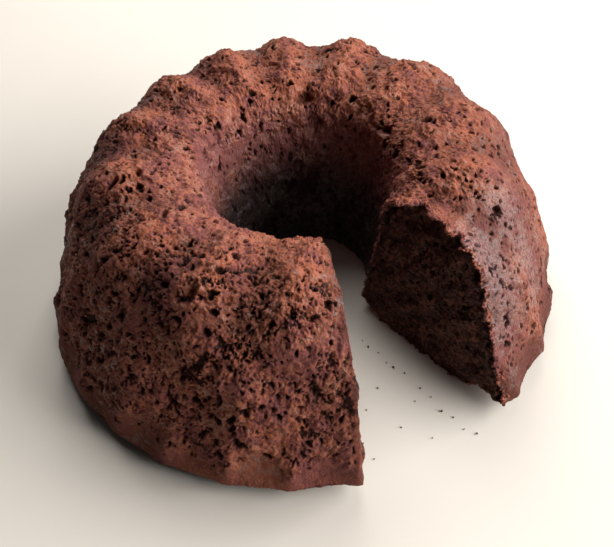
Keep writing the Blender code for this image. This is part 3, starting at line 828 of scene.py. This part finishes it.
class RingBlank:
    """The whole plain ring, and how its point numbers run, so that it can be parted into pieces again."""

    cut_values = {"crumbly": 0.55, "pored": 0.8, "holed": 0.15, "torn": 0.25, "dry": 0.3, "moist": 0.5,
                  "deep": 0.0, "sleek": 0.2, "cut": 1.0, "hollow": -4.0}

    def __init__(self, form, crumb, spacing):
        points, outward, fields, self.part, plain_edges = plain_ring(form, crumb, spacing)
        self.columns, self.rows = points.shape[:2]
        self.number = np.arange(self.columns * self.rows).reshape(self.columns, self.rows)
        lists = {name: [values.reshape(-1)] for name, values in fields.items()}
        all_points, all_outward = [points.reshape(-1, 3)], [outward.reshape(-1, 3)]
        self.cut_faces = {}
        count = self.columns * self.rows
        for column, turn, offset, side in ((0, form.right_cut_angle, form.right_cut_offset, 1.0),
                                           (-1, form.left_cut_angle, form.left_cut_offset, -1.0)):
            hub_turn = turn + math.asin(offset / form.hub_radius)
            hub = np.array([form.hub_radius * math.cos(hub_turn), form.hub_radius * math.sin(hub_turn),
                            form.hub_height])
            facing = side * np.array([math.sin(turn), -math.cos(turn), 0.0])
            rings, inset = cut_rings(form, crumb, spacing, points[column], plain_edges[column], hub, facing,
                                     self.part, side > 0.0)
            numbers = count + np.arange(len(rings) * self.rows).reshape(len(rings), self.rows)
            rows = [self.number[column], *numbers]
            hub_number = count + numbers.size
            quads = np.concatenate([strip(rows[k + 1], rows[k]) for k in range(len(rings))])
            fan = np.stack([np.full(self.rows, hub_number), rows[-1], np.roll(rows[-1], -1)], axis=-1)
            if side < 0.0:
                quads, fan = quads[:, ::-1], fan[:, ::-1]
            self.cut_faces[column] = (quads, fan)
            all_points += [rings.reshape(-1, 3), hub[None]]
            fading = 1.0 - smooth_step(0.0, 0.012, inset)
            all_outward += [(outward[column] * fading[..., None]).reshape(-1, 3), np.zeros((1, 3))]
            for name, parts in lists.items():
                border = np.tile(fields[name][column], len(rings))
                inner = np.full(border.shape, self.cut_values[name]) if name in self.cut_values else border
                parts += [inner, inner[-1:]]
            count = hub_number + 1
        self.points = np.concatenate(all_points)
        self.fields = {name: np.concatenate(parts) for name, parts in lists.items()}
        self.fields["outward"] = np.concatenate(all_outward)

    def wall_faces(self, first, last):
        return np.concatenate([strip(self.number[k], self.number[k + 1]) for k in range(first, last)])

    def slice_faces(self, first, last):
        """Faces of the crust between two columns, and then those that close the slice's two ends."""
        faces = [self.wall_faces(first, last)]
        for column, here, edge in ((0, first, 0), (-1, last, self.columns - 1)):
            inner_end = self.number[here][None, ::1 if column == 0 else -1]
            faces += self.cut_faces[column] if here == edge else [inner_end]
        return faces

    def mesh(self):
        faces = [self.wall_faces(0, self.columns - 1)]
        faces += [group for pair in self.cut_faces.values() for group in pair]
        return mesh_from("plain_ring", self.points, faces, self.fields)

    def slices(self):
        """Columns at which the ring is parted, so that no piece has too many triangles."""
        per_strip = 2 * self.rows
        cut = max(len(quads) * 2 + len(fan) for quads, fan in self.cut_faces.values())
        end = (MOST_TRIANGLES - cut - self.rows) // per_strip
        middle = self.columns - 1 - 2 * end
        if middle <= 0:
            return [0, (self.columns - 1) // 2, self.columns - 1]
        count = math.ceil(middle / ((MOST_TRIANGLES - 2 * self.rows) // per_strip))
        return [0, *np.linspace(end, end + middle, count + 1).round().astype(int), self.columns - 1]


def read(mesh, name, width=1):
    """A point attribute of a mesh as an array."""
    values = np.empty(len(mesh.vertices) * width, np.float32)
    if name == "position":
        mesh.vertices.foreach_get("co", values)
    elif name == "normal":
        mesh.vertex_normals.foreach_get("vector", values)
    else:
        mesh.attributes[name].data.foreach_get("value", values)
    return values.reshape(-1, width) if width > 1 else values


def new_material(name):
    """A material, its shader's inputs, the sketch of its tree and the place on the object."""
    material = bpy.data.materials.new(name)
    material.use_nodes = True
    s = Sketch(material.node_tree)
    place = s.add("ShaderNodeTexCoord").outputs["Object"]
    return material, material.node_tree.nodes["Principled BSDF"].inputs, s, place


def fine_bump(s, shader, place, scale, depth):
    height = s.noise(place, scale, 3.0, 0.65)
    bump = s.add("ShaderNodeBump", inputs={"Strength": 1.0, "Distance": depth, "Height": height})
    s.fill(shader["Normal"], bump.outputs[0])


def crust_material(finish):
    """Orange-brown dry crumb and mauve-brown skin, with painted shade in creases, pores, cavities and the
    hole, glossier where it is smooth.
    """
    material, shader, s, place = new_material("baked_crust")
    wide = s.noise(place, 75.0, 3.0, 0.6) - 0.5
    close = s.noise(place, 300.0, 3.0, 0.65) - 0.5
    fine = s.noise(place, 900.0, 2.0, 0.6) - 0.5
    pit = s.named("pit")
    ridge, skin, dark, deep, pore = ((*value, 1.0) for value in (
        finish.ridge_colour, finish.skin_colour, finish.shade_and_moist_colour, finish.recess_shade_colour, finish.pore_shade_colour))
    # Proud crumb tops lean to the lighter ridge colour, which is painted light; dryness and noise give real
    # patches
    patch = s.named("dry") + wide * 2.8 + (close + fine) * 1.6 + (s.named("proud") - 0.5) * 0.9
    tone = s.mix(s.ramp(patch, 0.10, 0.95), skin, ridge)
    # Damp crust is darker, and painted shade darkens the left side and the lobe valleys
    damp_and_shade = s.named("moist") + wide + close
    tone = s.mix(s.ramp(damp_and_shade, 0.0, 1.0) * 0.85, tone, dark)
    # Painted shade in the creases between crumbs
    crease_shade = s.named("crease_shade") + fine * s.ramp(s.named("rough"), 0.2, 0.8, 0.5, 1.0) * 2.2
    tone = s.mix(s.ramp(crease_shade, 0.05, 1.0) * 0.6, tone, dark)
    # Painted shade down the hole and under the ring
    tone = s.mix(s.named("deep"), tone, deep)
    # Painted shade inside cavities
    tone = s.mix(s.named("cave_shade") * 0.3, tone, dark)
    # Painted shade in pores
    s.fill(shader["Base Color"], s.mix(pit * 0.85, tone, pore))
    sleek = s.ramp(s.named("sleek") + (wide + close) * 2.0 - pit * 0.8, 0.15, 0.85)
    smoother = sleek * (finish.skin_roughness - finish.crumb_roughness)
    s.fill(shader["Roughness"], smoother + finish.crumb_roughness + fine * 0.4)
    s.fill(shader["Specular IOR Level"], sleek * (finish.gloss - finish.crumb_gloss) + finish.crumb_gloss)
    fine_bump(s, shader, place, 1100.0, 0.0007)
    return material


def crumb_material(finish):
    """Open crumb of the cut faces and of loose crumbs."""
    material, shader, s, place = new_material("open_crumb")
    fine = s.noise(place, 620.0, 3.0, 0.7)
    mottle = fine * 0.7 + s.noise(place, 140.0, 3.0, 0.6) * 0.3
    pore = (*finish.pore_shade_colour, 1.0)
    tone = s.mix(s.ramp(mottle, 0.44, 0.62), (*finish.moist_colour, 1.0), (*finish.crumb_colour, 1.0))
    # Painted shade in the creases and pores of the cut crumb
    tone = s.mix(s.named("crease_shade") * 0.7, tone, pore)
    s.fill(shader["Base Color"], s.mix(s.named("pit") * 0.8, tone, pore))
    s.fill(shader["Roughness"], s.ramp(fine, 0.3, 0.7, 0.72, finish.crumb_roughness + 0.1))
    s.fill(shader["Specular IOR Level"], finish.crumb_gloss)
    fine_bump(s, shader, place, 1000.0, 0.0010)
    return material


def placed_piece(mesh, name, stands_for_cake=True):
    """A finished piece that rides on the cake's body."""
    piece = bpy.data.objects.new(name, mesh)
    bpy.context.scene.collection.objects.link(piece)
    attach(piece, "root")
    if stands_for_cake:
        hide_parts(NODE)


def kept_inside(points):
    """Points moved into the solid's box where they stand proud of it."""
    return np.clip(points, np.array(CAD_BOX[0]), np.array(CAD_BOX[1]))


def scatter(name, points, widths, seed, material, flatness=0.8, stands_for_cake=True):
    """A piece made of crumbs on the given points."""
    mesh = bpy.data.meshes.new(name + "_places")
    mesh.from_pydata([tuple(point) for point in points], [], [])
    layer = mesh.attributes.new("width", "FLOAT", "POINT")
    layer.data.foreach_set("value", np.asarray(widths, np.float32))
    tree = bpy.data.node_groups.get("Scattered Crumbs") or crumb_tree()
    made = shaped_mesh(mesh, tree, {"Flatness": flatness, "Unevenness": CRUMB_UNEVENNESS, "Seed": seed,
                                    "Material": material}, name)
    made.vertices.foreach_set("co", kept_inside(read(made, "position", 3)).astype(np.float32).reshape(-1))
    # Crumbs take the dry crust's lighter orange, partly painted light on crumbs that lie in shade
    dry = made.attributes.new("dry", "FLOAT", "POINT")
    dry.data.foreach_set("value", np.full(len(made.vertices), CRUMB_DRYNESS_AND_LIGHT, np.float32))
    made.update()
    placed_piece(made, name, stands_for_cake)


def clinging(name, chosen, widths, proud, seed):
    """A piece made of crumbs that cling to chosen points of the ring, each proud by a share of its width."""
    points = BAKED["points"][chosen] + BAKED["normals"][chosen] * (proud * widths)[:, None]
    scatter(name, points, widths, seed, BAKED["crust"])


# What the ring's operator leaves for those that set crumbs on it
BAKED = {}


class CAKE_OT_ring(bpy.types.Operator):
    """Bake the ring: flutes, lobes, pores, cavities and both cut faces"""

    bl_idname = "cake.ring"
    bl_label = "Baked Ring"

    def execute(self, context):
        form, crumb, finish = context.scene.cake_form, context.scene.cake_crumb, context.scene.cake_finish
        spacing = crumb.spacing * 1.0
        blank = RingBlank(form, crumb, spacing)
        crust, open_crumb = crust_material(finish), crumb_material(finish)
        values = {**taken(form, FORM_INPUTS), **taken(crumb, CRUMB_INPUTS)}
        values.update({"Crust": crust, "Crumb": open_crumb})
        whole = shaped_mesh(blank.mesh(), ring_tree(), values, "baked_ring")
        points, normals = kept_inside(read(whole, "position", 3)), read(whole, "normal", 3)
        shown = {name: read(whole, name) for name in SHOWN_FIELDS}
        bpy.data.meshes.remove(whole)
        borders = blank.slices()
        for piece, (first, last) in enumerate(zip(borders, borders[1:]), 1):
            faces = blank.slice_faces(first, last)
            used = np.unique(np.concatenate([group.reshape(-1) for group in faces]))
            renumber = np.zeros(len(points), np.int64)
            renumber[used] = np.arange(len(used))
            mesh = mesh_from(f"ring_slice_{piece}", points[used], [renumber[group] for group in faces],
                             {key: values[used] for key, values in shown.items()})
            mesh.materials.append(crust)
            mesh.materials.append(open_crumb)
            on_cut = np.zeros(len(mesh.polygons), np.int32)
            on_cut[len(faces[0]):] = 1
            mesh.polygons.foreach_set("material_index", on_cut)
            mesh.normals_split_custom_set_from_vertices(normals[used])
            placed_piece(mesh, mesh.name)
        BAKED.update(points=points, normals=normals, blank=blank, fields=shown, crumb=open_crumb, crust=crust)
        return {"FINISHED"}


class CAKE_OT_edge_crumbs(bpy.types.Operator):
    """Crumbs and flakes that cling along the crust's edge at both cuts"""

    bl_idname = "cake.edge_crumbs"
    bl_label = "Edge Crumbs"

    def execute(self, context):
        crumb, blank = context.scene.cake_crumb, BAKED["blank"]
        rng = np.random.default_rng(crumb.seed + 1)
        step = np.hypot(*np.diff([blank.part["radius"], blank.part["height"]], append=np.nan, axis=1))
        step = np.nan_to_num(step) * np.where(blank.part["kind"] <= SHOULDER, 1.0, 0.8)
        rows = rng.choice(blank.rows, crumb.edge_crumbs, p=step / step.sum())
        right = rng.random(crumb.edge_crumbs) < RIGHT_EDGE_SHARE
        steps = np.abs(rng.normal(0.0, np.where(right, *EDGE_CRUMB_STEPS))).astype(int)
        columns = np.where(right, steps, blank.columns - 1 - steps)
        widths = rng.uniform(*EDGE_CRUMB_WIDTHS, crumb.edge_crumbs)
        widths = widths * np.where(right, rng.uniform(*RIGHT_CRUMB_GROWTH, right.shape), LEFT_CRUMB_GROWTH)
        clinging("edge_crumbs", blank.number[columns, rows], widths, 0.05, crumb.seed)
        return {"FINISHED"}


class CAKE_OT_crust_crumbs(bpy.types.Operator):
    """Small crumbs that cling to the rough parts of the crust"""

    bl_idname = "cake.crust_crumbs"
    bl_label = "Crust Crumbs"

    def execute(self, context):
        crumb, blank, fields = context.scene.cake_crumb, BAKED["blank"], BAKED["fields"]
        rng = np.random.default_rng(crumb.seed + 2)
        wall = blank.number.reshape(-1)
        weight = np.clip(fields["rough"][wall] - 0.45, 0.0, 1.0) * (fields["pit"][wall] < 0.1)
        weight = weight * np.tile(blank.part["kind"] <= SHOULDER, blank.columns)
        chosen = rng.choice(wall, crumb.crust_crumbs, replace=False, p=weight / weight.sum())
        widths = rng.uniform(*CRUST_CRUMB_WIDTHS, crumb.crust_crumbs)
        clinging("crust_crumbs", chosen, widths, 0.1, crumb.seed + 1)
        return {"FINISHED"}


class CAKE_OT_loose_crumbs(bpy.types.Operator):
    """Loose crumbs on the table in the missing wedge"""

    bl_idname = "cake.loose_crumbs"
    bl_label = "Loose Crumbs"

    def execute(self, context):
        table = np.array(LOOSE_CRUMBS) / 1000.0
        points = np.column_stack([table[:, :2], 0.34 * table[:, 2]])
        scatter("loose_crumbs", points, table[:, 2], context.scene.cake_crumb.seed + 2, BAKED["crumb"],
                flatness=0.9, stands_for_cake=False)
        return {"FINISHED"}


class CAKE_OT_stage(bpy.types.Operator):
    """Plain pale floor, a soft window light, a weaker soft light behind, and the camera"""

    bl_idname = "cake.stage"
    bl_label = "Stage"

    def execute(self, context):
        stage = context.scene.cake_stage
        scene = context.scene
        self.make_floor(scene, stage)
        self.make_light(scene, stage)
        self.make_camera(scene, stage)
        scene.view_settings.view_transform = "Standard"
        return {"FINISHED"}

    def make_floor(self, scene, stage):
        mesh = bpy.data.meshes.new("floor")
        half = FLOOR_HALF_WIDTH
        mesh.from_pydata([(-half, -half, 0.0), (half, -half, 0.0), (half, half, 0.0), (-half, half, 0.0)], [],
                         [(0, 1, 2, 3)])
        material, shader, s, place = new_material("pale_floor")
        paler = [min(1.0, channel * 1.03) for channel in stage.floor_colour]
        cloud = s.ramp(s.noise(place, 9.0, 4.0, 0.6), 0.3, 0.7)
        s.fill(shader["Base Color"], s.mix(cloud, (*stage.floor_colour, 1.0), (*paler, 1.0)))
        s.fill(shader["Roughness"], 0.85)
        mesh.materials.append(material)
        floor = bpy.data.objects.new("floor", mesh)
        scene.collection.objects.link(floor)

    def make_light(self, scene, stage):
        lights = {"window": (stage.key_power, stage.key_turn, stage.key_rise,
                             stage.key_width, stage.key_height),
                  "back_light": (stage.back_power, stage.back_turn, stage.back_rise,
                                 stage.back_size, stage.back_size)}
        for name, (watts, turn, rise, width, height) in lights.items():
            light = bpy.data.lights.new(name, "AREA")
            light.shape = "RECTANGLE"
            light.size, light.size_y = width, height
            light.energy = watts
            light.color = stage.key_colour
            lamp = bpy.data.objects.new(name, light)
            level = math.cos(rise)
            towards = Vector((level * math.cos(turn), level * math.sin(turn), math.sin(rise)))
            lamp.location = towards * stage.light_distance + Vector((0.0, 0.0, LIGHT_AIM_HEIGHT))
            lamp.rotation_euler = towards.to_track_quat("Z", "Y").to_euler()
            scene.collection.objects.link(lamp)
        world = bpy.data.worlds.new("room")
        world.use_nodes = True
        sky = world.node_tree.nodes["Background"]
        sky.inputs["Color"].default_value = (*stage.fill_colour, 1.0)
        sky.inputs["Strength"].default_value = stage.fill_strength
        scene.world = world

    def make_camera(self, scene, stage):
        lens = bpy.data.cameras.new("camera")
        lens.sensor_width = SENSOR_WIDTH_MM
        lens.lens = stage.focal_px * SENSOR_WIDTH_MM / PHOTO_WIDTH
        lens.clip_start, lens.clip_end = 0.01, 20.0
        forward = Vector((0.0, math.cos(stage.pitch), -math.sin(stage.pitch)))
        level_up = Vector((0.0, math.sin(stage.pitch), math.cos(stage.pitch)))
        level_right = Vector((1.0, 0.0, 0.0))
        right = math.cos(stage.roll) * level_right + math.sin(stage.roll) * level_up
        up = math.cos(stage.roll) * level_up - math.sin(stage.roll) * level_right
        camera = bpy.data.objects.new("camera", lens)
        place = Vector((stage.aim_x, stage.aim_y, 0.0)) - stage.distance * forward
        turn = Matrix((right, up, -forward)).transposed().to_4x4()
        camera.matrix_world = Matrix.Translation(place) @ turn
        scene.collection.objects.link(camera)
        scene.camera = camera


class CAKE_PT_sidebar(bpy.types.Panel):
    """Pieces of the cake, in the order in which they are made"""

    bl_idname = "CAKE_PT_sidebar"
    bl_label = "Ring Cake"
    bl_space_type = "VIEW_3D"
    bl_region_type = "UI"
    bl_category = "Cake"

    def draw(self, context):
        for operator in OPERATORS:
            self.layout.operator(operator.bl_idname)


GROUPS = {"cake_form": CakeForm, "cake_crumb": CakeCrumb, "cake_finish": CakeFinish, "cake_stage": CakeStage}
OPERATORS = (CAKE_OT_ring, CAKE_OT_edge_crumbs, CAKE_OT_crust_crumbs, CAKE_OT_loose_crumbs, CAKE_OT_stage)


def register():
    for kind in (*GROUPS.values(), *OPERATORS, CAKE_PT_sidebar):
        bpy.utils.register_class(kind)
    for name, group in GROUPS.items():
        setattr(bpy.types.Scene, name, PointerProperty(type=group))


def unregister():
    for name in GROUPS:
        delattr(bpy.types.Scene, name)
    for kind in reversed((*GROUPS.values(), *OPERATORS, CAKE_PT_sidebar)):
        bpy.utils.unregister_class(kind)


def main():
    register()
    bpy.ops.cake.ring()
    bpy.ops.cake.edge_crumbs()
    bpy.ops.cake.crust_crumbs()
    bpy.ops.cake.loose_crumbs()
    bpy.ops.cake.stage()


if __name__ == "__main__":
    main()
